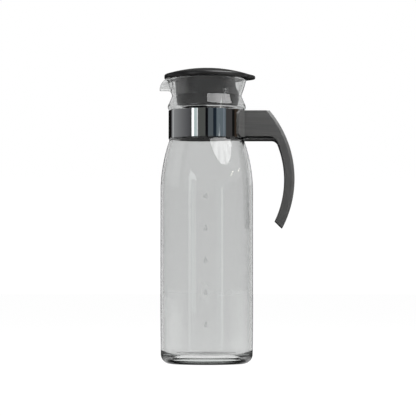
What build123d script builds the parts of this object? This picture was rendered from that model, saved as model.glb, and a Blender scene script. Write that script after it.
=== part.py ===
from build123d import *
import os
from math import atan2, cos, degrees, radians, sin, sqrt, tan

# Fridge water jug, in millimetres. +Z is up, the origin is on the floor at the centre of the
# carafe's foot, the spout points to -X and the handle to +X.

# Carafe
body_r = 46.0  # outside radius of the straight body
foot_r = 45.4  # outside radius just above the foot
foot_corner_r = 9.5
floor_t = 6.7
floor_corner_r = 7.0
wall = 2.2
punt_r = 30.0  # hollow under the foot, which leaves a ring to stand on
punt_h = 0.9
punt_slope = 3.0
swell_z = 80.0  # height at which the body reaches its full radius
shoulder_z = 170.0  # height at which the shoulder begins
shoulder_h = 51.5
neck_r = 37.3  # outside radius of the straight neck under the band
neck_h = 29.8
neck_blend_r = 3.0
bead_r = 39.4  # corner of the bead above the neck, before its rounding
bead_h = 3.4
bead_blend_r = 4.2
waist_r = 34.4  # corner of the waist, before its rounding
waist_h = 11.4
waist_blend_r = 2.6
rim_r = 39.6
flare_h = 16.3
rim_lean = 0.2  # outward run of the flare for each millimetre up, at the rim
rim_round_r = 0.8
rim_allowance = 3.0  # the flare is cut back by this much to the rim

# Spout
spout_reach = 46.9  # from the carafe's axis to the tip of the lip
spout_root_x = 24.0  # where the spout's cone starts
spout_root_r = 13.0
spout_tip_r = 8.6
lip_drop = 11.3  # the lip's underside below the rim
lip_start_x = 39.8  # where the rim starts to bend down
spout_blend_r = 3.0
lip_bend_r = 9.0

# Neck band
band_h = 27.6
band_t = 0.7
band_gap = 0.1
band_lift = 1.8  # lower edge of the band above the shoulder
tab_gap = 4.0  # between the two clamp tabs
tab_reach = 13.0  # length of the tabs outside the band
tab_margin = 4.5  # the tabs stand back this far from the band's edges
tab_slot_gap = 0.15  # round the tabs where they pass into the handle

# Clamp screw and nut
screw_r = 1.5
screw_hole_gap = 0.15
screw_head_r = 2.8
screw_head_h = 2.4
screw_socket_af = 2.5
screw_socket_depth = 1.3
screw_end = 1.0  # thread that shows past the nut
nut_af = 5.5
nut_h = 2.4
thread_gap = 0.05
screw_stand = 4.4  # from the handle's front wall to the screw's axis

# Handle
handle_w = 26.0
grip_outer_r = 105.0
grip_t = 9.6
grip_reach = 87.0  # from the carafe's axis to the grip's outer face
grip_drop = 67.5  # the grip's widest point below the arm's top
grip_span_deg = 27.0  # how far the grip curls in below its widest point
tip_cut_deg = 45.0
arm_h = 28.9
arm_drop = 0.2  # the arm's top below the band's upper edge
arm_inner_corner_r = 6.5
arm_bevel = 2.1  # along the arm's top
grip_bevel = 2.9  # along the grip's back
shell_wall = 2.2
saddle_gap = 0.1
saddle_t = 1.4
saddle_half_w = 24.0
saddle_top_corner_r = 5.0
saddle_foot_cut = 3.0
saddle_inset = 0.5  # the saddle's edges stand back this far from the band's
tongue_gap = 0.15  # each side of the tongue that the tabs grip
tongue_margin = 1.0  # of the tongue past the end of the tabs

# Handle cover
cover_t = 1.1
shadow_gap = 2.1  # open groove between the shell's edge and the cover
cover_setback = 0.5
cover_core_h = 1.8  # height of the cover's core inside the shell
cover_gap = 0.2

# Lid
lid_r = 42.3
lid_seat_gap = 0.3
lid_edge_h = 4.3
lid_edge_round_r = 1.5
dome_r = 140.0
lid_skin = 2.4
thumb_r = 12.0  # round end of the thumb tab
thumb_reach = 48.4  # from the lid's axis to the end of the thumb tab
thumb_slope_deg = 8.0
thumb_blend_r = 16.0
thumb_hollow_r = 25.0  # between the dome and the thumb tab's top

# Stopper
stopper_h = 25.2
stopper_top_r = 31.7
stopper_foot_r = 29.7
stopper_foot_bend_r = 3.0
stopper_mouth_r = 26.5
stopper_wall = 1.8
stopper_roof_t = 2.0
spigot_r = 26.0
spigot_h = 2.6
spigot_gap = 0.15
finger_half_deg = 60.7  # the spring fingers cover this angle each side of the handle
finger_split_deg = 40.6
finger_root_r = 28.2  # flattened side of the stopper above the fingers
finger_knee_r = 29.2
finger_knee_h = 8.5  # below the disc
finger_knee_blend_r = 8.0
finger_bulge_r = 32.3
finger_bulge_h = 18.2
finger_foot_r = 30.8
slit_w = 1.1
slit_top_h = 8.0  # the slits begin this far below the disc

# Heights and radii that follow
neck_z = shoulder_z + shoulder_h
neck_top_z = neck_z + neck_h
bead_z = neck_top_z + bead_h
waist_z = bead_z + waist_h
rim_z = waist_z + flare_h
lip_z = rim_z - lip_drop
above_rim = rim_z + 2 * spout_root_r
spout_end_x = spout_reach + wall
band_bottom_z = neck_z + band_lift
band_top_z = band_bottom_z + band_h
band_inner_r = neck_r + band_gap
band_outer_r = band_inner_r + band_t
band_mid_z = (band_bottom_z + band_top_z) / 2
tab_half_gap = tab_gap / 2
tab_outer_y = tab_half_gap + band_t
tab_end_x = band_outer_r + tab_reach
tab_h = band_h - 2 * tab_margin
tab_bottom_z = band_bottom_z + tab_margin
arm_top_z = band_top_z - arm_drop
arm_bottom_z = arm_top_z - arm_h
grip_x = grip_reach - grip_outer_r
grip_z = arm_top_z - grip_drop
grip_inner_r = grip_outer_r - grip_t
saddle_inner_r = band_outer_r + saddle_gap
saddle_outer_r = saddle_inner_r + saddle_t
cavity_front_x = saddle_outer_r + shell_wall
screw_x = cavity_front_x + screw_stand
saddle_bottom_z = band_bottom_z + saddle_inset
saddle_h = band_h - 2 * saddle_inset
half_w = handle_w / 2
cavity_half_w = half_w - shell_wall
shell_inset = cover_t + shadow_gap
core_top = shell_inset + cover_core_h
lid_z = rim_z + lid_seat_gap
dome_edge_z = lid_z + lid_edge_h
dome_z = dome_edge_z - sqrt(dome_r**2 - lid_r**2)  # centre of the dome
thumb_end_x = thumb_reach + thumb_r
thumb_end_z = dome_edge_z - (thumb_end_x - lid_r) * tan(radians(thumb_slope_deg))
pocket_r = spigot_r + spigot_gap
roof_z = lid_z - stopper_roof_t
stopper_foot_z = lid_z - stopper_h
foot_lip_z = stopper_foot_z + stopper_wall
slit_top_z = lid_z - slit_top_h
tongue_t = tab_gap - 2 * tongue_gap
far = 2 * grip_reach
os.makedirs("parts", exist_ok=True)


def carafe_face(inset, bottom_z, corner_r):
    """Half section of the carafe, moved in from its outside by inset, with its bottom at bottom_z."""
    foot = (foot_r - inset, bottom_z)
    swell = (body_r - inset, swell_z)
    shoulder = (body_r - inset, shoulder_z)
    neck = (neck_r - inset, neck_z)
    neck_top = (neck_r - inset, neck_top_z)
    bead = (bead_r - inset, bead_z)
    waist = (waist_r - inset, waist_z)
    flare_top = (rim_r + rim_lean * rim_allowance - inset, rim_z + rim_allowance)
    with BuildSketch(Plane.XZ) as face:
        with BuildLine():
            Line((0, bottom_z), foot)
            TangentArc(swell, foot, tangent=(0, -1))
            Line(swell, shoulder)
            TangentArc(shoulder, neck, tangent=(0, 1))
            Polyline(neck, neck_top, bead, waist)
            TangentArc(flare_top, waist, tangent=(-rim_lean, -1))
            Polyline(flare_top, (flare_top[0], above_rim), (0, above_rim), (0, bottom_z))
        make_face()
        rounded = [(foot, corner_r), (neck, neck_blend_r + inset), (bead, bead_blend_r - inset)]
        for corner, radius in rounded + [(waist, waist_blend_r + inset)]:
            fillet(face.vertices().sort_by_distance(corner)[0], radius)
    return face.sketch


def spout_cone(inset):
    """Cone with a level underside, which is the spout's channel."""
    lean = atan2(spout_root_r - spout_tip_r, spout_end_x - spout_root_x)
    root = (-spout_root_x - spout_root_r * sin(lean), 0, lip_z + spout_root_r * cos(lean))
    with BuildPart() as cone:
        with BuildSketch(Plane(root, x_dir=(0, 1, 0), z_dir=(-cos(lean), 0, -sin(lean)))):
            Circle(spout_root_r - inset / cos(lean))
        extrude(amount=spout_end_x, taper=degrees(lean))
    return cone.part


def spout_joint(part, x):
    """Edges where the spout's cone comes out of the flare, near x."""
    crossing = part.edges().filter_by(GeomType.BSPLINE)
    return crossing.filter_by(lambda edge: abs((edge @ 0.5).X + x) < spout_tip_r / 2)


def on_tip_cut(radius, inset):
    """Where the tip's slanting end, moved in by inset, meets a circle about the grip's centre."""
    cut = radians(tip_cut_deg)
    span = radians(grip_span_deg)
    middle_r = grip_outer_r - grip_t / 2
    x = middle_r * cos(span) + inset * sin(cut)
    z = inset * cos(cut) - middle_r * sin(span)
    along = x * cos(cut) - z * sin(cut)
    reach = sqrt(along**2 - x**2 - z**2 + radius**2) - along
    return (grip_x + x + reach * cos(cut), grip_z + z - reach * sin(cut))


def on_level(radius, z):
    """Where the level z meets a circle about the grip's centre."""
    return (grip_x + sqrt(radius**2 - (z - grip_z) ** 2), z)


def handle_side(under, inner, outer, end, front_x):
    """Side view from front_x on, moved in from the arm's underside, grip's inside, back and end."""
    top_z = arm_top_z - outer
    bottom_z = arm_bottom_z + under
    outer_r = grip_outer_r - outer
    inner_r = grip_inner_r + inner
    top_corner = on_level(outer_r, top_z)
    inner_corner = on_level(inner_r, bottom_z)
    tip_outer = on_tip_cut(outer_r, end)
    tip_inner = on_tip_cut(inner_r, end)
    with BuildSketch(Plane.XZ) as side:
        with BuildLine():
            Line((front_x, top_z), top_corner)
            ThreePointArc(top_corner, (grip_x + outer_r, grip_z), tip_outer)
            Line(tip_outer, tip_inner)
            ThreePointArc(tip_inner, (grip_x + inner_r, grip_z), inner_corner)
            Polyline(inner_corner, (front_x, bottom_z), (front_x, top_z))
        make_face()
        fillet(side.vertices().sort_by_distance(inner_corner)[0], arm_inner_corner_r + under)
    return side.sketch


def bevelled_section(bevel, depth):
    """Section across the handle, from its outer edge at the origin inwards."""
    with BuildSketch() as section:
        Rectangle(handle_w, depth, align=(Align.CENTER, Align.MAX))
        chamfer(section.vertices().group_by(Axis.Y)[-1], bevel)
    return section.sketch


def inner_strip(near, deep, end, front_x):
    """Side view of a strip along the handle's inner outline, between two depths below it."""
    corners = [on_level(grip_inner_r + d, arm_bottom_z + d) for d in (near, deep)]
    tips = [on_tip_cut(grip_inner_r + d, end) for d in (near, deep)]
    with BuildSketch(Plane.XZ) as strip:
        with BuildLine():
            for depth, corner, tip in zip((near, deep), corners, tips):
                Line((front_x, arm_bottom_z + depth), corner)
                ThreePointArc(corner, (grip_x + grip_inner_r + depth, grip_z), tip)
            Line(*tips)
            Line((front_x, arm_bottom_z + near), (front_x, arm_bottom_z + deep))
        make_face()
        for depth, corner in zip((near, deep), corners):
            fillet(strip.vertices().sort_by_distance(corner)[0], arm_inner_corner_r + depth)
    return strip.sketch


def cross_hole(radius):
    """Bore across the clamp, on the screw's axis."""
    with BuildPart() as bore:
        with BuildSketch(Plane.XZ):
            with Locations((screw_x, band_mid_z)):
                Circle(radius)
        extrude(amount=tab_outer_y + nut_h, both=True)
    return bore.part


def across(side, half):
    """Solid of a side view, half wide each side of the handle's middle."""
    with BuildPart() as slab:
        extrude(side.moved(Location((0, half, 0))), amount=2 * half, dir=(0, -1, 0))
    return slab.part


def neck_cylinder(radius):
    """Upright cylinder about the carafe's axis, past both ends of the handle's arm."""
    with BuildPart() as cylinder:
        with BuildSketch(Plane.XY.offset(arm_bottom_z - arm_h)):
            Circle(radius)
        extrude(amount=3 * arm_h)
    return cylinder.part


def finger_face(inset):
    """Half section of the stopper's spring side, moved in by inset."""
    root = (finger_root_r - inset, lid_z)
    knee = (finger_knee_r - inset, lid_z - finger_knee_h)
    bulge = (finger_bulge_r - inset, lid_z - finger_bulge_h)
    foot = (finger_foot_r - inset, stopper_foot_z)
    with BuildSketch(Plane.XZ) as face:
        with BuildLine():
            Line(root, knee)
            TangentArc(bulge, knee, tangent=(0, 1))
            TangentArc(bulge, foot, tangent=(0, -1))
            Polyline(foot, (0, stopper_foot_z), (0, lid_z), root)
        make_face()
        fillet(face.vertices().sort_by_distance(knee)[0], finger_knee_blend_r)
    return face.sketch


def spring_sector():
    """Upright wedge about the handle's side that holds the spring fingers."""
    reach_x = far * cos(radians(finger_half_deg))
    reach_y = far * sin(radians(finger_half_deg))
    with BuildPart() as sector:
        with BuildSketch(Plane.XY.offset(stopper_foot_z - stopper_h)):
            Polygon((0, 0), (reach_x, -reach_y), (reach_x, reach_y), align=None)
        extrude(amount=3 * stopper_h)
    return sector.part


# Carafe: its outside and inside, each with its spout, then the rim cut to its line
with BuildPart() as carafe_inside:
    add(carafe_face(wall, floor_t, floor_corner_r))
    revolve(axis=Axis.Z)
    add(spout_cone(wall))
    fillet(spout_joint(carafe_inside, rim_r - wall), spout_blend_r + wall)
with BuildPart() as above_lip:
    with BuildSketch(Plane.XZ) as lip_side:
        lip_tip = (-spout_reach, lip_z)
        lip_bend = (-lip_start_x, rim_z)
        with BuildLine():
            TangentArc(lip_tip, lip_bend, tangent=(0, 1))
            Polyline(lip_bend, (far, rim_z), (far, 2 * rim_z), (-far, 2 * rim_z), (-far, lip_z), lip_tip)
        make_face()
        fillet(lip_side.vertices().sort_by_distance(lip_bend)[0], lip_bend_r)
    extrude(amount=far, both=True)
with BuildPart() as glass_carafe:
    add(carafe_face(0, 0, foot_corner_r))
    revolve(axis=Axis.Z)
    add(spout_cone(0))
    fillet(spout_joint(glass_carafe, rim_r), spout_blend_r)
    add(carafe_inside.part, mode=Mode.SUBTRACT)
    add(above_lip.part, mode=Mode.SUBTRACT)
    rim_edges = glass_carafe.edges(Select.LAST).filter_by(lambda edge: edge.length > 2 * wall)
    fillet(rim_edges, rim_round_r)
    with BuildSketch(Plane.XY):
        Circle(punt_r)
    extrude(amount=punt_h, taper=degrees(atan2(punt_slope, punt_h)), mode=Mode.SUBTRACT)

# Neck band: an open ring whose ends turn outwards as clamp tabs
with BuildPart() as neck_band:
    with BuildSketch(Plane.XY.offset(band_bottom_z)):
        Circle(band_outer_r)
        Circle(band_inner_r, mode=Mode.SUBTRACT)
        with Locations((band_outer_r, 0)):
            Rectangle(band_outer_r, tab_gap, mode=Mode.SUBTRACT)
    extrude(amount=band_h)
    with BuildSketch(Plane.XY.offset(tab_bottom_z)):
        with GridLocations(0, tab_gap + band_t, 1, 2):
            with Locations((band_inner_r, 0)):
                Rectangle(tab_end_x - band_inner_r, band_t, align=(Align.MIN, Align.CENTER))
    extrude(amount=tab_h)
    add(cross_hole(screw_r + screw_hole_gap), mode=Mode.SUBTRACT)

# Clamp screw with a hexagon socket, and its nut
with BuildPart() as clamp_screw:
    with BuildSketch(Plane.XZ.offset(tab_outer_y)):
        with Locations((screw_x, band_mid_z)):
            Circle(screw_r)
    extrude(amount=-(2 * tab_outer_y + nut_h + screw_end))
    with BuildSketch(Plane.XZ.offset(tab_outer_y)):
        with Locations((screw_x, band_mid_z)):
            Circle(screw_head_r)
    extrude(amount=screw_head_h)
    with BuildSketch(Plane.XZ.offset(tab_outer_y + screw_head_h)):
        with Locations((screw_x, band_mid_z)):
            RegularPolygon(screw_socket_af / 2, 6, major_radius=False)
    extrude(amount=-screw_socket_depth, mode=Mode.SUBTRACT)
with BuildPart() as clamp_nut:
    with BuildSketch(Plane.XZ.offset(-tab_outer_y)):
        with Locations((screw_x, band_mid_z)):
            RegularPolygon(nut_af / 2, 6, major_radius=False)
            Circle(screw_r + thread_gap, mode=Mode.SUBTRACT)
    extrude(amount=-nut_h)

# Handle shell: saddle on the band, hollow arm and grip, and a tongue between the clamp tabs
with BuildPart() as saddle:
    with BuildSketch(Plane.XY.offset(saddle_bottom_z)):
        Circle(saddle_outer_r)
        Circle(saddle_inner_r, mode=Mode.SUBTRACT)
        Rectangle(far, 2 * saddle_half_w, align=(Align.MIN, Align.CENTER), mode=Mode.INTERSECT)
    extrude(amount=saddle_h)
    with BuildSketch(Plane.YZ) as saddle_front:
        with Locations((0, saddle_bottom_z)):
            Rectangle(2 * saddle_half_w, saddle_h, align=(Align.CENTER, Align.MIN))
        fillet(saddle_front.vertices().group_by(Axis.Y)[-1], saddle_top_corner_r)
        chamfer(saddle_front.vertices().group_by(Axis.Y)[0], saddle_foot_cut)
    extrude(amount=far, mode=Mode.INTERSECT)
with BuildPart() as arm_form:
    add(Plane.YZ.offset(-far) * Location((0, arm_top_z)) * bevelled_section(arm_bevel, far))
    extrude(amount=2 * far)
with BuildPart() as grip_form:
    back = Plane((grip_reach, 0, grip_z), x_dir=(0, 1, 0), z_dir=(0, 0, -1))
    add(back * bevelled_section(grip_bevel, grip_outer_r))
    revolve(axis=Axis((grip_x, 0, grip_z), (0, 1, 0)))
with BuildPart() as handle_shell:
    add(across(handle_side(shell_inset, 0, 0, 0, 0), half_w))
    add(arm_form.part, mode=Mode.INTERSECT)
    add(grip_form.part, mode=Mode.INTERSECT)
    add(neck_cylinder(saddle_inner_r), mode=Mode.SUBTRACT)
    add(saddle.part)
    cavity_side = handle_side(-shell_wall, -shell_wall, shell_wall, shell_wall, cavity_front_x)
    add(across(cavity_side, cavity_half_w), mode=Mode.SUBTRACT)
    with BuildSketch(Plane.XY.offset(tab_bottom_z - tab_slot_gap)):
        Rectangle(cavity_front_x, 2 * (tab_outer_y + tab_slot_gap), align=(Align.MIN, Align.CENTER))
    extrude(amount=tab_h + 2 * tab_slot_gap, mode=Mode.SUBTRACT)
    with BuildSketch(Plane.XY.offset(arm_top_z - shell_wall)):
        with Locations((saddle_inner_r, 0)):
            Rectangle(tab_end_x + tongue_margin - saddle_inner_r, tongue_t, align=(Align.MIN, Align.CENTER))
    extrude(amount=tab_bottom_z - tab_slot_gap - arm_top_z + shell_wall)
    add(cross_hole(screw_r + screw_hole_gap), mode=Mode.SUBTRACT)

# Handle cover: plate under the arm, and a core inside the shell that closes the grip too
with BuildPart() as handle_cover:
    add(across(inner_strip(0, cover_t, 0, 0), half_w - cover_setback))
    around_shell = handle_side(shell_inset - cover_gap, -cover_gap, -cover_gap, -cover_gap, 0)
    add(across(around_shell, half_w), mode=Mode.SUBTRACT)
    core_side = inner_strip(0, core_top, shell_wall + cover_gap, cavity_front_x + cover_gap)
    add(across(core_side, cavity_half_w - cover_gap))
    add(neck_cylinder(saddle_inner_r), mode=Mode.SUBTRACT)

# Lid cap: dome with a thumb tab over the handle, and a pocket for the stopper's spigot
with BuildPart() as lid_cap:
    with BuildSketch(Plane.XY.offset(lid_z)) as lid_outline:
        Circle(lid_r)
        with Locations((thumb_reach - thumb_r, 0)):
            Circle(thumb_r)
        tab_roots = lid_outline.vertices().sort_by(Axis.Y)
        fillet((tab_roots[0], tab_roots[-1]), thumb_blend_r)
    extrude(amount=dome_r)
    with BuildSketch(Plane.XZ) as dome_face:
        dome_top = (0, dome_z + dome_r)
        dome_edge = (lid_r, dome_edge_z)
        with BuildLine():
            TangentArc(dome_top, dome_edge, tangent=(1, 0))
            Polyline(dome_edge, (thumb_end_x, thumb_end_z), (thumb_end_x, lid_z), (0, lid_z), dome_top)
        make_face()
        fillet(dome_face.vertices().sort_by_distance(dome_edge)[0], thumb_hollow_r)
    revolve(axis=Axis.Z, mode=Mode.INTERSECT)
    rim_sides = lid_cap.faces().filter_by(lambda face: face.normal_at().Z == 0)
    fillet(rim_sides.edges() - rim_sides.edges().filter_by(Axis.Z), lid_edge_round_r)
    pocket_line = (pocket_r, dome_z + sqrt((dome_r - lid_skin) ** 2 - pocket_r**2))
    with BuildSketch(Plane.XZ):
        with BuildLine():
            roof_line = TangentArc((0, dome_z + dome_r - lid_skin), pocket_line, tangent=(1, 0))
            Polyline(roof_line @ 1, (pocket_r, lid_z), (0, lid_z), roof_line @ 0)
        make_face()
    revolve(axis=Axis.Z, mode=Mode.SUBTRACT)

# Stopper: cup open downwards, its handle side pressed in above a row of spring fingers
with BuildPart() as spring_side:
    add(finger_face(0))
    revolve(axis=Axis.Z)
    add(finger_face(stopper_wall))
    revolve(axis=Axis.Z, mode=Mode.SUBTRACT)
    add(spring_sector(), mode=Mode.INTERSECT)
with BuildPart() as lid_stopper:
    with BuildSketch(Plane.XZ) as cup_face:
        foot = (stopper_foot_r, stopper_foot_z)
        inner_foot = (stopper_foot_r - stopper_wall, foot_lip_z)
        with BuildLine():
            Polyline((0, roof_z), (0, lid_z), (stopper_top_r, lid_z), foot)
            Polyline(foot, (stopper_mouth_r, stopper_foot_z), (stopper_mouth_r, foot_lip_z), inner_foot)
            Polyline(inner_foot, (stopper_top_r - stopper_wall, roof_z), (0, roof_z))
        make_face()
        fillet(cup_face.vertices().sort_by_distance(foot)[0], stopper_foot_bend_r)
        fillet(cup_face.vertices().sort_by_distance(inner_foot)[0], stopper_foot_bend_r - stopper_wall)
    revolve(axis=Axis.Z)
    add(spring_sector(), mode=Mode.SUBTRACT)
    add(spring_side.part)
    with BuildSketch(Plane.XY.offset(roof_z)):
        Circle(finger_root_r - stopper_wall / 2)
    extrude(amount=stopper_roof_t)
    with BuildSketch(Plane.XY.offset(slit_top_z)):
        web_r = finger_root_r - stopper_wall
        web_l = stopper_top_r - stopper_wall / 2 - web_r
        for side in (-1, 1):
            with Locations(Location((0, 0, 0), side * finger_half_deg)):
                with Locations((web_r, 0)):
                    Rectangle(web_l, stopper_wall, align=(Align.MIN, Align.MIN if side > 0 else Align.MAX))
    extrude(amount=lid_z - slit_top_z)
    with BuildSketch(Plane.XY.offset(lid_z)):
        Circle(spigot_r)
        Circle(spigot_r - stopper_wall, mode=Mode.SUBTRACT)
    extrude(amount=spigot_h)
    for angle in (-finger_half_deg, -finger_split_deg, finger_split_deg, finger_half_deg):
        with BuildSketch(Plane.YZ.rotated((0, 0, angle))):
            with Locations((0, slit_top_z)):
                Circle(slit_w / 2)
                Rectangle(slit_w, stopper_h, align=(Align.CENTER, Align.MAX))
        extrude(amount=far, mode=Mode.SUBTRACT)

glass_carafe.part.label = "glass_carafe"
neck_band.part.label = "neck_band"
clamp_screw.part.label = "clamp_screw"
clamp_nut.part.label = "clamp_nut"
handle_shell.part.label = "handle_shell"
handle_cover.part.label = "handle_cover"
lid_cap.part.label = "lid_cap"
lid_stopper.part.label = "lid_stopper"
export_step(glass_carafe.part, "parts/glass_carafe.step")
export_step(neck_band.part, "parts/neck_band.step")
export_step(clamp_screw.part, "parts/clamp_screw.step")
export_step(clamp_nut.part, "parts/clamp_nut.step")
export_step(handle_shell.part, "parts/handle_shell.step")
export_step(handle_cover.part, "parts/handle_cover.step")
export_step(lid_cap.part, "parts/lid_cap.step")
export_step(lid_stopper.part, "parts/lid_stopper.step")
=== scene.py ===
import math
from dataclasses import dataclass

import bmesh
import bpy
from bpy.props import FloatProperty, FloatVectorProperty, IntProperty, PointerProperty
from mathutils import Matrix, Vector


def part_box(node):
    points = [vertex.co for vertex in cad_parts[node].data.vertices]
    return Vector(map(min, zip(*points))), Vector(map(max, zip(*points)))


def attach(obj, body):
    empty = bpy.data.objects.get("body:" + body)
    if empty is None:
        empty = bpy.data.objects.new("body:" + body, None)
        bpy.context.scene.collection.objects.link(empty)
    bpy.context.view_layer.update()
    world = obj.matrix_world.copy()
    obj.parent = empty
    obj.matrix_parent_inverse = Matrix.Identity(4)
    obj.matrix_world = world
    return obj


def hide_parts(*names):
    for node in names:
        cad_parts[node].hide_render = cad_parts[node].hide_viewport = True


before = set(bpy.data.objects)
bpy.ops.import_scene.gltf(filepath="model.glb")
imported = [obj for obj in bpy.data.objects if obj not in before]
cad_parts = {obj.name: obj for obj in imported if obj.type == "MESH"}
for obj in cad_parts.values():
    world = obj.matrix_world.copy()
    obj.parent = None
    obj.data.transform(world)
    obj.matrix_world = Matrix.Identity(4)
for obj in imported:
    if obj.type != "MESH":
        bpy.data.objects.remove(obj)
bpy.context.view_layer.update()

bl_info = {
    "name": "Fridge water jug",
    "version": (1, 0, 0),
    "blender": (4, 5, 0),
    "location": "View3D > Sidebar > Water jug",
    "description": "Finishes the glass, band, handle and lid of a water jug and sets up its studio",
    "category": "Object",
}

SHOULDER_DROP = 0.03  # the umbrella aims this far below the band's foot
ARM_DROP = 0.01  # the handle's arm ends this far below it

body_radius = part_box("glass_carafe")[1].y
band_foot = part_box("neck_band")[0].z
shoulder_height = band_foot - SHOULDER_DROP
arm_foot = band_foot - ARM_DROP


# Settings

class JugGlassSettings(bpy.types.PropertyGroup):
    # Painted shade: this grey cast stands in for grey surroundings seen through clear glass, and it also
    # greys the light that passes
    tint_with_painted_shade: FloatVectorProperty(
        name="Tint", description="What one wall of the glass lets through", subtype="COLOR",
        default=(0.745, 0.75, 0.748), min=0.0, max=1.0)
    depth_tint: FloatVectorProperty(
        name="Depth tint", description="Colour the glass takes where it is thick", subtype="COLOR",
        default=(0.62, 0.70, 0.66), min=0.0, max=1.0)
    depth_density: FloatProperty(
        name="Depth density", description="How soon thick glass darkens", default=5.0, min=0.0)
    wave_size: FloatProperty(
        name="Wave size", description="Size of the faint waves in the pressed glass",
        default=0.06, min=0.001, unit="LENGTH")
    wave_depth: FloatProperty(
        name="Wave depth", description="Depth of the faint waves in the pressed glass",
        default=0.00002, min=0.0, unit="LENGTH")


class JugMarkSettings(bpy.types.PropertyGroup):
    count: IntProperty(name="Marks", description="Level marks on the front", default=5, min=1, max=12)
    lowest: FloatProperty(
        name="Lowest mark", description="Height of the lowest mark", default=0.0398, unit="LENGTH")
    highest: FloatProperty(
        name="Highest mark", description="Height of the highest mark", default=0.1648, unit="LENGTH")
    height: FloatProperty(
        name="Mark height", description="Height of one drop", default=0.0062, unit="LENGTH")
    width: FloatProperty(
        name="Mark width", description="Width of one drop", default=0.0040, unit="LENGTH")
    ink: FloatVectorProperty(
        name="Ink", description="Colour of the printed drops", subtype="COLOR",
        default=(0.30, 0.31, 0.31), min=0.0, max=1.0)
    cover: FloatProperty(
        name="Ink cover", description="How much the ink hides", default=0.10, min=0.0, max=1.0,
        subtype="FACTOR")


class JugSteelSettings(bpy.types.PropertyGroup):
    colour: FloatVectorProperty(
        name="Steel", description="Colour of the polished steel", subtype="COLOR",
        default=(0.63, 0.63, 0.62), min=0.0, max=1.0)
    polish: FloatProperty(
        name="Roughness", description="Roughness of the band's polish", default=0.05, min=0.0,
        max=1.0, subtype="FACTOR")
    line_depth: FloatProperty(
        name="Line depth", description="Depth of the polishing lines", default=0.000002,
        min=0.0, unit="LENGTH")


class JugPlasticSettings(bpy.types.PropertyGroup):
    handle: FloatVectorProperty(
        name="Handle", description="Colour of the handle's shell", subtype="COLOR",
        default=(0.076, 0.076, 0.075), min=0.0, max=1.0)
    cover: FloatVectorProperty(
        name="Handle cover", description="Colour of the handle's cover", subtype="COLOR",
        default=(0.040, 0.040, 0.040), min=0.0, max=1.0)
    lid: FloatVectorProperty(
        name="Lid", description="Colour of the lid", subtype="COLOR",
        default=(0.014, 0.014, 0.014), min=0.0, max=1.0)
    stopper: FloatVectorProperty(
        name="Stopper", description="Colour of the stopper", subtype="COLOR",
        default=(0.012, 0.012, 0.012), min=0.0, max=1.0)
    grain_size: FloatProperty(
        name="Grain size", description="Size of the moulded grain", default=0.00045,
        min=0.00005, unit="LENGTH")
    flow_lines: FloatProperty(
        name="Flow lines", description="Strength of the fine lines along the handle's arm", default=0.6,
        min=0.0, max=1.0, subtype="FACTOR")


class JugStageSettings(bpy.types.PropertyGroup):
    camera_distance: FloatProperty(
        name="Camera distance", description="From the jug's axis", default=1.928, unit="LENGTH")
    camera_height: FloatProperty(
        name="Camera height", description="Above the floor", default=0.0713, unit="LENGTH")
    camera_side: FloatProperty(
        name="Camera side", description="To the right of the jug's axis", default=0.00124,
        unit="LENGTH")
    camera_tilt: FloatProperty(
        name="Camera tilt", description="Above level", default=math.radians(2.468),
        subtype="ANGLE")
    lens: FloatProperty(
        name="Lens", description="Focal length in millimetres on a 36 mm sensor", default=167.9)
    umbrella_light: FloatProperty(
        name="Umbrella light", description="Power of the umbrella in watts", default=52.0, min=0.0)
    umbrella_glow: FloatProperty(
        name="Umbrella glow", description="Brightness of the umbrella in reflections", default=7.5,
        min=0.0)
    umbrella_azimuth: FloatProperty(
        name="Umbrella azimuth", description="From the camera's side towards the handle",
        default=math.radians(52.0), subtype="ANGLE")
    umbrella_distance: FloatProperty(
        name="Umbrella distance", description="From the jug's axis, along the floor", default=0.965,
        unit="LENGTH")
    umbrella_height: FloatProperty(
        name="Umbrella height", description="Above the floor", default=1.35, unit="LENGTH")
    umbrella_radius: FloatProperty(
        name="Umbrella radius", description="Radius of the umbrella", default=0.88, unit="LENGTH")
    umbrella_ribs: IntProperty(
        name="Umbrella ribs", description="Ribs of the umbrella", default=10, min=3)
    strip_light: FloatProperty(
        name="Strip", description="Power of the strip on the left in watts", default=9.0, min=0.0)
    fill: FloatProperty(
        name="Fill", description="Light from all round on the surfaces", default=0.08, min=0.0)
    wall_distance: FloatProperty(
        name="Card distance", description="From the jug's axis to the studio cards", default=2.5,
        unit="LENGTH")


# Node helpers

def set_inputs(node, **values):
    """Sets a node's sockets by name, with underscores for the spaces."""
    for name, value in values.items():
        node.inputs[name.replace("_", " ")].default_value = value
    return node


def math_node(tree, operation, *values):
    """A math node's result, from sockets and numbers."""
    node = tree.nodes.new("ShaderNodeMath")
    node.operation = operation
    for socket, value in zip(node.inputs, values):
        if isinstance(value, float):
            socket.default_value = value
        else:
            tree.links.new(value, socket)
    return node.outputs["Value"]


def new_group(name, inputs, outputs):
    """A shader node group with its input and output nodes."""
    group = bpy.data.node_groups.new(name, "ShaderNodeTree")
    for label, kind, default in inputs:
        socket = group.interface.new_socket(label, in_out="INPUT", socket_type=kind)
        socket.default_value = default
    for label, kind in outputs:
        group.interface.new_socket(label, in_out="OUTPUT", socket_type=kind)
    return group, group.nodes.new("NodeGroupInput"), group.nodes.new("NodeGroupOutput")


def add_group(tree, group, **values):
    """Places a node group in a material with its own values."""
    node = tree.nodes.new("ShaderNodeGroup")
    node.node_tree = group
    return set_inputs(node, **values)


def bare_material(name):
    """A material with nothing but its output."""
    material = bpy.data.materials.new(name)
    material.use_nodes = True
    tree = material.node_tree
    tree.nodes.clear()
    return material, tree, tree.nodes.new("ShaderNodeOutputMaterial")


def new_finish(name):
    """A material with a Principled BSDF on its output."""
    material, tree, output = bare_material(name)
    shader = tree.nodes.new("ShaderNodeBsdfPrincipled")
    tree.links.new(shader.outputs["BSDF"], output.inputs["Surface"])
    return material, tree, shader


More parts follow.
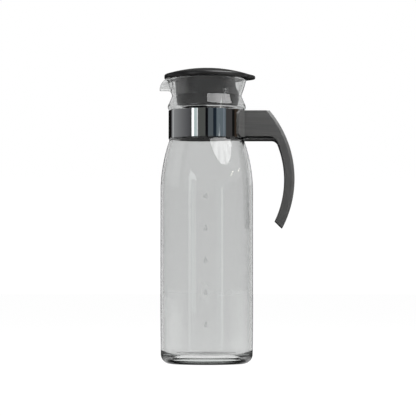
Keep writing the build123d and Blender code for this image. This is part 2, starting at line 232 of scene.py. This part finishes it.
def bump_from(tree, shader, height, depth):
    """Sends a height to the shader's normal."""
    bump = set_inputs(tree.nodes.new("ShaderNodeBump"), Strength=1.0, Distance=depth)
    tree.links.new(height, bump.inputs["Height"])
    tree.links.new(bump.outputs["Normal"], shader.inputs["Normal"])


LINES_FADE = 0.01  # height over which the flow lines set in


def grain_group():
    """Fine moulded grain, slow changes of colour and gloss, and level lines above a height."""
    group, source, result = new_group(
        "Moulded grain",
        [("Grain Size", "NodeSocketFloat", 0.0005), ("Colour", "NodeSocketColor", (0.1, 0.1, 0.1, 1.0)),
         ("Roughness", "NodeSocketFloat", 0.4), ("Lines", "NodeSocketFloat", 0.0),
         ("Lines From", "NodeSocketFloat", 0.0)],
        [("Colour", "NodeSocketColor"), ("Roughness", "NodeSocketFloat"), ("Height", "NodeSocketFloat")])
    place = group.nodes.new("ShaderNodeTexCoord")
    scale = math_node(group, "DIVIDE", 1.0, source.outputs["Grain Size"])
    pits = set_inputs(group.nodes.new("ShaderNodeTexNoise"), Detail=2.0, Roughness=0.6)
    group.links.new(place.outputs["Object"], pits.inputs["Vector"])
    group.links.new(scale, pits.inputs["Scale"])
    clouds = set_inputs(group.nodes.new("ShaderNodeTexNoise"), Scale=22.0, Detail=4.0, Roughness=0.55)
    group.links.new(place.outputs["Object"], clouds.inputs["Vector"])
    tone = set_inputs(group.nodes.new("ShaderNodeMapRange"), From_Min=0.3, From_Max=0.7,
                      To_Min=0.93, To_Max=1.07)
    group.links.new(clouds.outputs["Fac"], tone.inputs["Value"])
    squeeze = set_inputs(group.nodes.new("ShaderNodeMapping"), Scale=(0.03, 0.03, 1.0))
    group.links.new(place.outputs["Object"], squeeze.inputs["Vector"])
    streaks = set_inputs(group.nodes.new("ShaderNodeTexNoise"), Scale=750.0, Detail=1.0)
    group.links.new(squeeze.outputs["Vector"], streaks.inputs["Vector"])
    height = group.nodes.new("ShaderNodeSeparateXYZ")
    group.links.new(place.outputs["Object"], height.inputs["Vector"])
    above = math_node(group, "SUBTRACT", height.outputs["Z"], source.outputs["Lines From"])
    share = math_node(group, "MULTIPLY", above, 1.0 / LINES_FADE)
    share.node.use_clamp = True
    strength = math_node(group, "MULTIPLY", share, source.outputs["Lines"])
    swing = math_node(group, "SUBTRACT", streaks.outputs["Fac"], 0.5)
    lines = math_node(group, "MULTIPLY", swing, strength)
    shade = group.nodes.new("ShaderNodeVectorMath")
    shade.operation = "SCALE"
    group.links.new(source.outputs["Colour"], shade.inputs["Vector"])
    group.links.new(math_node(group, "ADD", tone.outputs["Result"], lines), shade.inputs["Scale"])
    gloss = math_node(group, "MULTIPLY", source.outputs["Roughness"], tone.outputs["Result"])
    group.links.new(shade.outputs["Vector"], result.inputs["Colour"])
    group.links.new(gloss, result.inputs["Roughness"])
    group.links.new(pits.outputs["Fac"], result.inputs["Height"])
    return group


def polish_group():
    """Fine polishing lines that run round a turned or rolled piece of steel."""
    group, source, result = new_group(
        "Polishing lines",
        [("Line Scale", "NodeSocketFloat", 4000.0), ("Roughness", "NodeSocketFloat", 0.1)],
        [("Roughness", "NodeSocketFloat"), ("Height", "NodeSocketFloat")])
    place = group.nodes.new("ShaderNodeTexCoord")
    squeeze = set_inputs(group.nodes.new("ShaderNodeMapping"), Scale=(0.02, 0.02, 1.0))
    group.links.new(place.outputs["Object"], squeeze.inputs["Vector"])
    lines = set_inputs(group.nodes.new("ShaderNodeTexNoise"), Detail=3.0, Roughness=0.7)
    group.links.new(squeeze.outputs["Vector"], lines.inputs["Vector"])
    group.links.new(source.outputs["Line Scale"], lines.inputs["Scale"])
    smear = set_inputs(group.nodes.new("ShaderNodeTexNoise"), Scale=45.0, Detail=5.0, Roughness=0.6)
    group.links.new(place.outputs["Object"], smear.inputs["Vector"])
    dull = set_inputs(group.nodes.new("ShaderNodeMapRange"), From_Min=0.35, From_Max=0.7,
                      To_Min=0.85, To_Max=1.3)
    group.links.new(smear.outputs["Fac"], dull.inputs["Value"])
    gloss = math_node(group, "MULTIPLY", source.outputs["Roughness"], dull.outputs["Result"])
    group.links.new(gloss, result.inputs["Roughness"])
    group.links.new(lines.outputs["Fac"], result.inputs["Height"])
    return group


def shared_group(name, maker):
    """The node group of that name, made the first time it is asked for."""
    return bpy.data.node_groups.get(name) or maker()


# Finishes

BAND_LINES = 5000.0  # noise scale of the band's polishing lines
BOLT_LINES = 2500.0
BOLT_ROUGHNESS = 0.32
HANDLE_ROUGHNESS = 0.38
COVER_ROUGHNESS = 0.42
LID_ROUGHNESS = 0.30
STOPPER_ROUGHNESS = 0.24
INK_ROUGHNESS = 0.5
INK_GRAIN = 0.0002  # size of the ink's grain
HANDLE_GRAIN_DEPTH = 0.00002
LID_GRAIN_DEPTH = 0.00001


def glass_finish(settings):
    """Clear glass with a grey cast of painted shade, standing in for grey surroundings seen through it,
    and faint waves. Shadows and scattered light pass through it.
    """
    material, tree, shader = new_finish("Jug glass")
    # The grey base colour and the grey of the passing light are painted shade for the surroundings seen
    # through the glass
    set_inputs(shader, Base_Color=(*settings.tint_with_painted_shade, 1.0), Roughness=0.0, IOR=1.5, Transmission_Weight=1.0)
    place = tree.nodes.new("ShaderNodeTexCoord")
    waves = set_inputs(tree.nodes.new("ShaderNodeTexNoise"), Scale=1.0 / settings.wave_size, Detail=1.0)
    tree.links.new(place.outputs["Object"], waves.inputs["Vector"])
    bump_from(tree, shader, waves.outputs["Fac"], settings.wave_depth)
    output = tree.nodes["Material Output"]
    passing = set_inputs(tree.nodes.new("ShaderNodeBsdfTransparent"), Color=(*settings.tint_with_painted_shade, 1.0))
    path = tree.nodes.new("ShaderNodeLightPath").outputs
    either = math_node(tree, "MAXIMUM", path["Is Shadow Ray"], path["Is Diffuse Ray"])
    mix = tree.nodes.new("ShaderNodeMixShader")
    tree.links.new(either, mix.inputs["Fac"])
    tree.links.new(shader.outputs["BSDF"], mix.inputs[1])
    tree.links.new(passing.outputs["BSDF"], mix.inputs[2])
    tree.links.new(mix.outputs["Shader"], output.inputs["Surface"])
    depth = tree.nodes.new("ShaderNodeVolumeAbsorption")
    set_inputs(depth, Color=(*settings.depth_tint, 1.0), Density=settings.depth_density)
    tree.links.new(depth.outputs["Volume"], output.inputs["Volume"])
    return material


def steel_finish(name, colour, roughness, line_scale, line_depth):
    """Polished steel with fine lines round it."""
    material, tree, shader = new_finish(name)
    set_inputs(shader, Base_Color=(*colour, 1.0), Metallic=1.0)
    lines = add_group(tree, shared_group("Polishing lines", polish_group), Line_Scale=line_scale,
                      Roughness=roughness)
    tree.links.new(lines.outputs["Roughness"], shader.inputs["Roughness"])
    bump_from(tree, shader, lines.outputs["Height"], line_depth)
    return material


def plastic_finish(name, colour, roughness, grain_size, grain_depth, **lines):
    """Dark moulded plastic with a fine grain, and level flow lines where they are asked for."""
    material, tree, shader = new_finish(name)
    grain = add_group(tree, shared_group("Moulded grain", grain_group), Grain_Size=grain_size,
                      Colour=(*colour, 1.0), Roughness=roughness, **lines)
    tree.links.new(grain.outputs["Colour"], shader.inputs["Base Color"])
    tree.links.new(grain.outputs["Roughness"], shader.inputs["Roughness"])
    bump_from(tree, shader, grain.outputs["Height"], grain_depth)
    return material


def ink_finish(settings):
    """Thin printed ink that lets the glass show through."""
    material, tree, shader = new_finish("Level mark ink")
    set_inputs(shader, Roughness=INK_ROUGHNESS, Alpha=settings.cover)
    grain = add_group(tree, shared_group("Moulded grain", grain_group), Grain_Size=INK_GRAIN,
                      Colour=(*settings.ink, 1.0), Roughness=INK_ROUGHNESS)
    tree.links.new(grain.outputs["Colour"], shader.inputs["Base Color"])
    return material


def dress(node, material):
    """Puts a finish on a CAD node."""
    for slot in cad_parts[node].material_slots:
        slot.material = material


# Pieces

MARK_SHIFT = 0.0011  # the marks stand this far to the left of the front
MARK_LIFT = 0.00003  # off the glass
INK_THICKNESS = 0.00002
DROP_FULLNESS = 1.3
DROP_POINT = 1.4  # a higher power gives the drop a longer point
FOOT_SLACK = 0.0002  # faces this near the stopper's lowest point belong to its foot
FOOT_FACING = -0.9  # and look down at least this much
# Each step of the stopper's foot: a drop in metres, and a share of the width
FOOT_STEPS = ((0.0006, 0.997), (0.0006, 0.99), (0.0005, 0.977), (0.0003, 0.955))
SMOOTH_ANGLE = math.radians(35.0)


def add_object(name, mesh, material):
    """Turns a bmesh into an object of the scene with one material."""
    data = bpy.data.meshes.new(name)
    mesh.to_mesh(data)
    mesh.free()
    data.materials.append(material)
    made = bpy.data.objects.new(name, data)
    bpy.context.scene.collection.objects.link(made)
    return made


class JUG_OT_glass(bpy.types.Operator):
    """Give the carafe its glass"""
    bl_idname = "jug.glass"
    bl_label = "Glass carafe"

    def execute(self, context):
        dress("glass_carafe", glass_finish(context.scene.jug_glass))
        return {"FINISHED"}


def drop_outline(width, height, steps=28):
    """Points round a drop with its point upwards."""
    for step in range(steps):
        turn = 2 * math.pi * step / steps
        across = width / 2 * math.sin(turn) * DROP_FULLNESS * math.sin(turn / 2) ** DROP_POINT
        yield across, height / 2 * math.cos(turn)


class JUG_OT_level_marks(bpy.types.Operator):
    """Print the column of level marks on the front of the glass"""
    bl_idname = "jug.level_marks"
    bl_label = "Level marks"

    def execute(self, context):
        settings = context.scene.jug_marks
        ink = ink_finish(settings)
        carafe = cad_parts["glass_carafe"]
        step = (settings.highest - settings.lowest) / max(settings.count - 1, 1)
        for number in range(settings.count):
            centre = settings.lowest + step * number
            mesh = bmesh.new()
            corners = []
            for across, up in drop_outline(settings.width, settings.height):
                start = Vector((across - MARK_SHIFT, -2 * body_radius, centre + up))
                hit, spot, normal, _ = carafe.ray_cast(start, Vector((0, 1, 0)))
                if not hit:
                    raise RuntimeError("a level mark misses the glass")
                corners.append(mesh.verts.new(spot + normal * MARK_LIFT))
            mesh.faces.new(corners)
            mark = add_object(f"level_mark_{number + 1}", mesh, ink)
            film = mark.modifiers.new("Film", "SOLIDIFY")
            film.thickness = INK_THICKNESS
            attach(mark, "jug")
        return {"FINISHED"}


class JUG_OT_band(bpy.types.Operator):
    """Polish the neck band, and finish the clamp screw and nut"""
    bl_idname = "jug.band"
    bl_label = "Neck band and clamp"

    def execute(self, context):
        settings = context.scene.jug_steel
        dress("neck_band", steel_finish(
            "Band steel", settings.colour, settings.polish, BAND_LINES, settings.line_depth))
        bolt = steel_finish(
            "Bolt steel", settings.colour, BOLT_ROUGHNESS, BOLT_LINES, settings.line_depth)
        dress("clamp_screw", bolt)
        dress("clamp_nut", bolt)
        return {"FINISHED"}


class JUG_OT_handle(bpy.types.Operator):
    """Finish the handle's shell and cover"""
    bl_idname = "jug.handle"
    bl_label = "Handle"

    def execute(self, context):
        settings = context.scene.jug_plastic
        dress("handle_shell", plastic_finish(
            "Handle plastic", settings.handle, HANDLE_ROUGHNESS, settings.grain_size,
            HANDLE_GRAIN_DEPTH, Lines=settings.flow_lines, Lines_From=arm_foot))
        dress("handle_cover", plastic_finish(
            "Cover plastic", settings.cover, COVER_ROUGHNESS, settings.grain_size, HANDLE_GRAIN_DEPTH))
        return {"FINISHED"}


def rounded_stopper():
    """The stopper's mesh with its foot drawn down and rounded."""
    mesh = bmesh.new()
    mesh.from_mesh(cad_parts["lid_stopper"].data)
    foot = min(vertex.co.z for vertex in mesh.verts) + FOOT_SLACK
    faces = [face for face in mesh.faces
             if face.normal.z < FOOT_FACING and face.calc_center_median().z < foot]
    if not faces:
        raise RuntimeError("the stopper has no foot")
    for drop, share in FOOT_STEPS:
        made = bmesh.ops.extrude_face_region(mesh, geom=faces)["geom"]
        bmesh.ops.delete(mesh, geom=faces, context="FACES_ONLY")
        faces = [item for item in made if isinstance(item, bmesh.types.BMFace)]
        for vertex in {vertex for face in faces for vertex in face.verts}:
            vertex.co = Vector((vertex.co.x * share, vertex.co.y * share, vertex.co.z - drop))
    return mesh


class JUG_OT_lid(bpy.types.Operator):
    """Finish the lid's cap and stopper"""
    bl_idname = "jug.lid"
    bl_label = "Lid and stopper"

    def execute(self, context):
        settings = context.scene.jug_plastic
        dress("lid_cap", plastic_finish(
            "Lid plastic", settings.lid, LID_ROUGHNESS, settings.grain_size, LID_GRAIN_DEPTH))
        plastic = plastic_finish(
            "Stopper plastic", settings.stopper, STOPPER_ROUGHNESS, settings.grain_size,
            LID_GRAIN_DEPTH)
        stopper = add_object("stopper_moulding", rounded_stopper(), plastic)
        stopper.data.shade_smooth()
        stopper.data.set_sharp_from_angle(angle=SMOOTH_ANGLE)
        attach(stopper, "lid")
        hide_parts("lid_stopper")
        return {"FINISHED"}


# Studio

# Counts of a ray's bounces, each between two whole numbers
NO_MIRROR = 0.5  # below it no reflection lies on the way
ONE_WALL = 3.5  # below it the ray has crossed no more than one wall of glass and one surface
MANY_MIRRORS = 1.5  # above it two reflections or more lie on the way

FLOOR_COLOUR = (0.05, 0.05, 0.05, 1.0)
FLOOR_SEEN = 0.985  # the floor's light straight to the camera
FLOOR_BENT = 0.6  # through glass
FLOOR_THROUGH = 0.44  # added to that for the rays of glass_rays
# Between these shares of straight sideways, the mirrored light grows from To_Min to To_Max
FLOOR_SIDES = {"From_Min": 0.82, "From_Max": 0.99, "To_Min": 0.01, "To_Max": 0.5}
WORLD_WHITE = 1.0
WORLD_LOW_WHITE = 1.06  # at the horizon
WORLD_LOW = 0.06  # sine of the angle above it where the white is plain again
FACE_ANGLE = 2  # degrees of a curved card that one face takes
CARD_STEP = 0.0005  # each card stands this much nearer than the one before it
RIB_SHARES = (0.9, 0.8, 0.5, 0.8)  # the umbrella's light from one rib to the next
UMBRELLA_LAMP = 1.6  # side of the umbrella's area lamp
STRIP_PLACE = (-41.5, 2.4, 1.0)  # azimuth, distance and height
STRIP_AIM = (0.0, 0.0, 0.3)
STRIP_WIDTH = 0.36
STRIP_HEIGHT = 2.0
FLOOR_RADIUS = 60.0


def toward(azimuth, distance, height):
    """A place at an azimuth in degrees, from the camera's side towards the handle's."""
    turn = math.radians(azimuth)
    return Vector((distance * math.sin(turn), -distance * math.cos(turn), height))


def glass_rays(tree, path):
    """1 for bent rays that met no reflection, stayed in one wall of glass, or met several reflections."""
    straight = math_node(tree, "LESS_THAN", path["Glossy Depth"], NO_MIRROR)
    one_wall = math_node(tree, "LESS_THAN", path["Transmission Depth"], ONE_WALL)
    several = math_node(tree, "GREATER_THAN", path["Glossy Depth"], MANY_MIRRORS)
    any_of = math_node(tree, "MAXIMUM", math_node(tree, "MAXIMUM", straight, one_wall), several)
    return math_node(tree, "MULTIPLY", path["Is Transmission Ray"], any_of)


def glow_material():
    """Plain light in each card's own colours, and clear for the rays of glass_rays."""
    material, tree, output = bare_material("Card light")
    light = tree.nodes.new("ShaderNodeAttribute")
    light.attribute_name = "light"
    glow = set_inputs(tree.nodes.new("ShaderNodeEmission"), Strength=1.0)
    tree.links.new(light.outputs["Color"], glow.inputs["Color"])
    path = tree.nodes.new("ShaderNodeLightPath").outputs
    clear = tree.nodes.new("ShaderNodeBsdfTransparent")
    mix = tree.nodes.new("ShaderNodeMixShader")
    tree.links.new(glass_rays(tree, path), mix.inputs["Fac"])
    tree.links.new(glow.outputs["Emission"], mix.inputs[1])
    tree.links.new(clear.outputs["BSDF"], mix.inputs[2])
    tree.links.new(mix.outputs["Shader"], output.inputs["Surface"])
    return material


def studio_card(name, mesh, material):
    """Turns a mesh into a card that shows in mirrored and bent rays only."""
    card = add_object(name, mesh, material)
    card.visible_camera = False
    card.visible_diffuse = False
    card.visible_shadow = False


def wall_card(card, distance, material):
    """A curved card round the jug, with its light blended from left to right."""
    mesh = bmesh.new()
    light = mesh.verts.layers.float_color.new("light")
    steps = max(1, round((card.right - card.left) / FACE_ANGLE))
    rows = []
    for step in range(steps + 1):
        share = step / steps
        azimuth = card.left + (card.right - card.left) * share
        colour = Vector(card.left_colour).lerp(Vector(card.right_colour), share)
        row = []
        for height in (card.foot, card.top):
            row.append(mesh.verts.new(toward(azimuth, distance, height)))
            row[-1][light] = (*colour, 1.0)
        rows.append(row)
    for left, right in zip(rows, rows[1:]):
        mesh.faces.new((left[0], right[0], right[1], left[1]))
    studio_card(card.name, mesh, material)


def flat_card(card, distance, material):
    """A flat card with its light blended between its corners."""
    mesh = bmesh.new()
    light = mesh.verts.layers.float_color.new("light")
    corners = []
    for azimuth, height, strength in card.corners:
        corners.append(mesh.verts.new(toward(azimuth, distance, height)))
        corners[-1][light] = (*(Vector(card.colour) * strength), 1.0)
    mesh.faces.new(corners)
    studio_card(card.name, mesh, material)


def umbrella_place(settings):
    """The umbrella's centre, and the point of the jug that it faces."""
    azimuth = math.degrees(settings.umbrella_azimuth)
    centre = toward(azimuth, settings.umbrella_distance, settings.umbrella_height)
    return centre, Vector((0.0, 0.0, shoulder_height))


def umbrella_card(settings, material):
    """A studio umbrella up on the right, with its ribs a little darker."""
    mesh = bmesh.new()
    light = mesh.verts.layers.float_color.new("light")
    centre, aim = umbrella_place(settings)
    turn = (aim - centre).to_track_quat("Z", "Y")
    hub = mesh.verts.new(centre)
    hub[light] = (*[settings.umbrella_glow] * 3, 1.0)
    ring = []
    steps = len(RIB_SHARES) * settings.umbrella_ribs
    for step in range(steps):
        angle = 2 * math.pi * step / steps
        arm = Vector((math.cos(angle), math.sin(angle), 0.0)) * settings.umbrella_radius
        ring.append(mesh.verts.new(centre + turn @ arm))
        ring[-1][light] = (*[settings.umbrella_glow * RIB_SHARES[step % len(RIB_SHARES)]] * 3, 1.0)
    for here, after in zip(ring, ring[1:] + ring[:1]):
        mesh.faces.new((hub, here, after))
    studio_card("umbrella", mesh, material)


def studio_lamp(name, place, aim, width, height, watts):
    """An area lamp that faces a point, and that reflections leave to the cards."""
    data = bpy.data.lights.new(name, "AREA")
    data.shape = "RECTANGLE"
    data.size = width
    data.size_y = height
    data.energy = watts
    lamp = bpy.data.objects.new(name, data)
    lamp.location = place
    lamp.rotation_euler = (aim - place).to_track_quat("-Z", "Y").to_euler()
    lamp.visible_glossy = False
    lamp.visible_transmission = False
    bpy.context.scene.collection.objects.link(lamp)


def studio_world(fill):
    """White wherever it is seen, a little brighter low down, and a plain fill for all other rays."""
    world = bpy.data.worlds.new("Jug studio")
    bpy.context.scene.world = world
    world.use_nodes = True
    tree = world.node_tree
    tree.nodes.clear()
    output = tree.nodes.new("ShaderNodeOutputWorld")
    path = tree.nodes.new("ShaderNodeLightPath").outputs
    place = tree.nodes.new("ShaderNodeTexCoord")
    split = tree.nodes.new("ShaderNodeSeparateXYZ")
    tree.links.new(place.outputs["Generated"], split.inputs["Vector"])
    low_glow = set_inputs(tree.nodes.new("ShaderNodeMapRange"), From_Max=WORLD_LOW,
                          To_Min=WORLD_LOW_WHITE, To_Max=WORLD_WHITE)
    tree.links.new(split.outputs["Z"], low_glow.inputs["Value"])
    strength = set_inputs(tree.nodes.new("ShaderNodeMapRange"), To_Min=fill)
    white = math_node(tree, "MAXIMUM", path["Is Camera Ray"], glass_rays(tree, path))
    tree.links.new(white, strength.inputs["Value"])
    tree.links.new(low_glow.outputs["Result"], strength.inputs["To Max"])
    light = set_inputs(tree.nodes.new("ShaderNodeBackground"), Color=(1.0, 1.0, 1.0, 1.0))
    tree.links.new(strength.outputs["Result"], light.inputs["Strength"])
    tree.links.new(light.outputs["Background"], output.inputs["Surface"])


def floor_material():
    """Floor that looks white by its own light, and whose mirror image is bright to left and right."""
    material, tree, output = bare_material("Studio floor")
    matt = set_inputs(tree.nodes.new("ShaderNodeBsdfDiffuse"), Color=FLOOR_COLOUR)
    glow = set_inputs(tree.nodes.new("ShaderNodeEmission"), Color=(1.0, 1.0, 1.0, 1.0))
    path = tree.nodes.new("ShaderNodeLightPath").outputs
    place = tree.nodes.new("ShaderNodeTexCoord")
    reach = tree.nodes.new("ShaderNodeVectorMath")
    reach.operation = "NORMALIZE"
    tree.links.new(place.outputs["Object"], reach.inputs["Vector"])
    split = tree.nodes.new("ShaderNodeSeparateXYZ")
    tree.links.new(reach.outputs["Vector"], split.inputs["Vector"])
    side = set_inputs(tree.nodes.new("ShaderNodeMapRange"), **FLOOR_SIDES)
    tree.links.new(math_node(tree, "ABSOLUTE", split.outputs["X"]), side.inputs["Value"])
    mirrored = math_node(tree, "MULTIPLY", path["Is Glossy Ray"], side.outputs["Result"])
    bent = math_node(tree, "MULTIPLY_ADD", path["Is Transmission Ray"], FLOOR_BENT, mirrored)
    through = math_node(tree, "MULTIPLY_ADD", glass_rays(tree, path), FLOOR_THROUGH, bent)
    strength = math_node(tree, "MULTIPLY_ADD", path["Is Camera Ray"], FLOOR_SEEN, through)
    tree.links.new(strength, glow.inputs["Strength"])
    both = tree.nodes.new("ShaderNodeAddShader")
    tree.links.new(matt.outputs["BSDF"], both.inputs[0])
    tree.links.new(glow.outputs["Emission"], both.inputs[1])
    tree.links.new(both.outputs["Shader"], output.inputs["Surface"])
    return material


def studio_floor():
    """A large level floor."""
    mesh = bmesh.new()
    bmesh.ops.create_circle(mesh, cap_ends=True, segments=64, radius=FLOOR_RADIUS)
    add_object("studio_floor", mesh, floor_material())


WINDOW_LIGHT = (1.0, 1.03, 1.07)
LINE_LIGHT = (1.3, 1.33, 1.4)
LAMP_LIGHT = (9.0, 8.4, 7.4)
NEAR_SHARE = 0.12  # of the cards' distance, for what only the foot of the glass reflects


@dataclass
class CurvedCard:
    """Its azimuths in degrees, its light at both ends and its heights in metres."""
    name: str
    left: float
    right: float
    left_colour: tuple
    right_colour: tuple
    foot: float = 0.37
    top: float = 0.62


@dataclass
class FlatCard:
    """Its corners are an azimuth in degrees, a height in metres and a strength of its colour each."""
    name: str
    colour: tuple
    corners: tuple
    distance_share: float = 0.99  # of the distance of the curved cards


def plain_card(name, left, right, colour, **heights):
    """A curved card of one colour."""
    return CurvedCard(name, left, right, colour, colour, **heights)


CURVED_CARDS = (
    plain_card("card_far_left", -170, -132, (0.010, 0.010, 0.010)),
    CurvedCard("card_left_grey", -130, -50, (0.38, 0.39, 0.40), (0.10, 0.10, 0.11), foot=0.0, top=1.6),
    plain_card("card_left_line", -122, -118, (0.62, 0.63, 0.65)),
    plain_card("card_pale", -38.3, -29.5, (0.63, 0.75, 0.76), foot=0.0, top=0.57),
    plain_card("card_pale_edge", -29.5, -26.5, (1.05, 1.10, 1.14), foot=0.0, top=0.57),
    plain_card("card_front_dark", -24, -4, (0.115, 0.12, 0.115)),
    plain_card("card_front_black", -4, 4, (0.005, 0.005, 0.007)),
    plain_card("card_blue_grey", 4, 19, (0.12, 0.14, 0.155)),
    plain_card("card_navy", 19, 29, (0.018, 0.027, 0.040)),
    plain_card("card_right_grey", 29, 59, (0.17, 0.21, 0.24)),
    plain_card("card_right_line", 36, 39.5, LINE_LIGHT, foot=0.0, top=0.42),
    plain_card("card_right_thin", 51.5, 53.5, (0.34, 0.38, 0.46)),
    plain_card("card_right_dark", 59, 82, (0.070, 0.068, 0.070)),
    plain_card("card_right_black", 82, 92, (0.008, 0.008, 0.008)),
    plain_card("card_brown", 92, 112, (0.055, 0.040, 0.030)),
    CurvedCard("card_back", 114, 152, (0.12, 0.12, 0.125), (0.55, 0.56, 0.58)),
    CurvedCard("card_back_left", 154, 186, (0.30, 0.31, 0.32), (0.06, 0.06, 0.065)),
)
FLAT_CARDS = (
    FlatCard("window_line", WINDOW_LIGHT, (
        (-45.5, 0.0, 1.0), (-40.0, 0.0, 1.0), (-38.3, 0.45, 1.7), (-38.3, 0.60, 2.2), (-45.5, 0.60, 2.2))),
    FlatCard("window_wedge", WINDOW_LIGHT, (
        (-45.5, 0.60, 2.2), (-40.0, 0.60, 2.2), (-33.0, 0.64, 2.4), (-25.4, 0.57, 2.0), (-25.4, 0.69, 2.6),
        (-42.5, 0.95, 3.2))),
    FlatCard("window_line_foot", WINDOW_LIGHT, (
        (-42.7, 0.0, 0.9), (-37.2, 0.0, 0.9), (-37.2, 0.057, 1.0), (-42.7, 0.057, 1.0)), NEAR_SHARE),
    FlatCard("right_line_foot", LINE_LIGHT, (
        (33.6, 0.0, 0.8), (36.8, 0.0, 0.8), (36.8, 0.057, 1.0), (33.6, 0.057, 1.0)), NEAR_SHARE),
    FlatCard("lamp_near", LAMP_LIGHT, (
        (62.8, 0.70, 1.0), (64.4, 0.70, 1.0), (70.9, 0.84, 1.0), (69.3, 0.84, 1.0))),
    FlatCard("lamp_far", LAMP_LIGHT, (
        (87.0, 0.77, 1.0), (89.0, 0.77, 1.0), (96.6, 0.85, 1.0), (94.6, 0.85, 1.0))),
)


class JUG_OT_studio(bpy.types.Operator):
    """Set up the floor, the light and the camera"""
    bl_idname = "jug.studio"
    bl_label = "Studio"

    def execute(self, context):
        settings = context.scene.jug_stage
        context.scene.view_settings.view_transform = "Standard"
        studio_floor()
        studio_world(settings.fill)
        centre, aim = umbrella_place(settings)
        studio_lamp("umbrella_lamp", centre, aim, UMBRELLA_LAMP, UMBRELLA_LAMP, settings.umbrella_light)
        studio_lamp("left_strip", toward(*STRIP_PLACE), Vector(STRIP_AIM), STRIP_WIDTH, STRIP_HEIGHT,
                    settings.strip_light)
        material = glow_material()
        umbrella_card(settings, material)
        for number, card in enumerate(CURVED_CARDS):
            wall_card(card, settings.wall_distance - CARD_STEP * number, material)
        for card in FLAT_CARDS:
            flat_card(card, settings.wall_distance * card.distance_share, material)
        data = bpy.data.cameras.new("jug_camera")
        data.lens = settings.lens
        data.sensor_width = 36.0
        camera = bpy.data.objects.new("jug_camera", data)
        camera.location = (settings.camera_side, -settings.camera_distance, settings.camera_height)
        camera.rotation_euler = (math.pi / 2 + settings.camera_tilt, 0.0, 0.0)
        context.scene.collection.objects.link(camera)
        context.scene.camera = camera
        return {"FINISHED"}


class JUG_PT_sidebar(bpy.types.Panel):
    """The jug's pieces and studio"""
    bl_idname = "JUG_PT_sidebar"
    bl_label = "Water jug"
    bl_space_type = "VIEW_3D"
    bl_region_type = "UI"
    bl_category = "Water jug"

    def draw(self, context):
        for settings, operator in SECTIONS:
            box = self.layout.box()
            box.operator(operator.bl_idname)
            group = getattr(context.scene, settings)
            for name in group.__annotations__:
                box.prop(group, name)


SECTIONS = (
    ("jug_glass", JUG_OT_glass),
    ("jug_marks", JUG_OT_level_marks),
    ("jug_steel", JUG_OT_band),
    ("jug_plastic", JUG_OT_handle),
    ("jug_plastic", JUG_OT_lid),
    ("jug_stage", JUG_OT_studio),
)
SETTINGS = {
    "jug_glass": JugGlassSettings,
    "jug_marks": JugMarkSettings,
    "jug_steel": JugSteelSettings,
    "jug_plastic": JugPlasticSettings,
    "jug_stage": JugStageSettings,
}
CLASSES = (*SETTINGS.values(), *(operator for _, operator in SECTIONS), JUG_PT_sidebar)


def register():
    for each in CLASSES:
        bpy.utils.register_class(each)
    for name, group in SETTINGS.items():
        setattr(bpy.types.Scene, name, PointerProperty(type=group))


def unregister():
    for name in SETTINGS:
        delattr(bpy.types.Scene, name)
    for each in reversed(CLASSES):
        bpy.utils.unregister_class(each)


def main():
    register()
    bpy.ops.jug.glass()
    bpy.ops.jug.level_marks()
    bpy.ops.jug.band()
    bpy.ops.jug.handle()
    bpy.ops.jug.lid()
    bpy.ops.jug.studio()


if __name__ == "__main__":
    main()
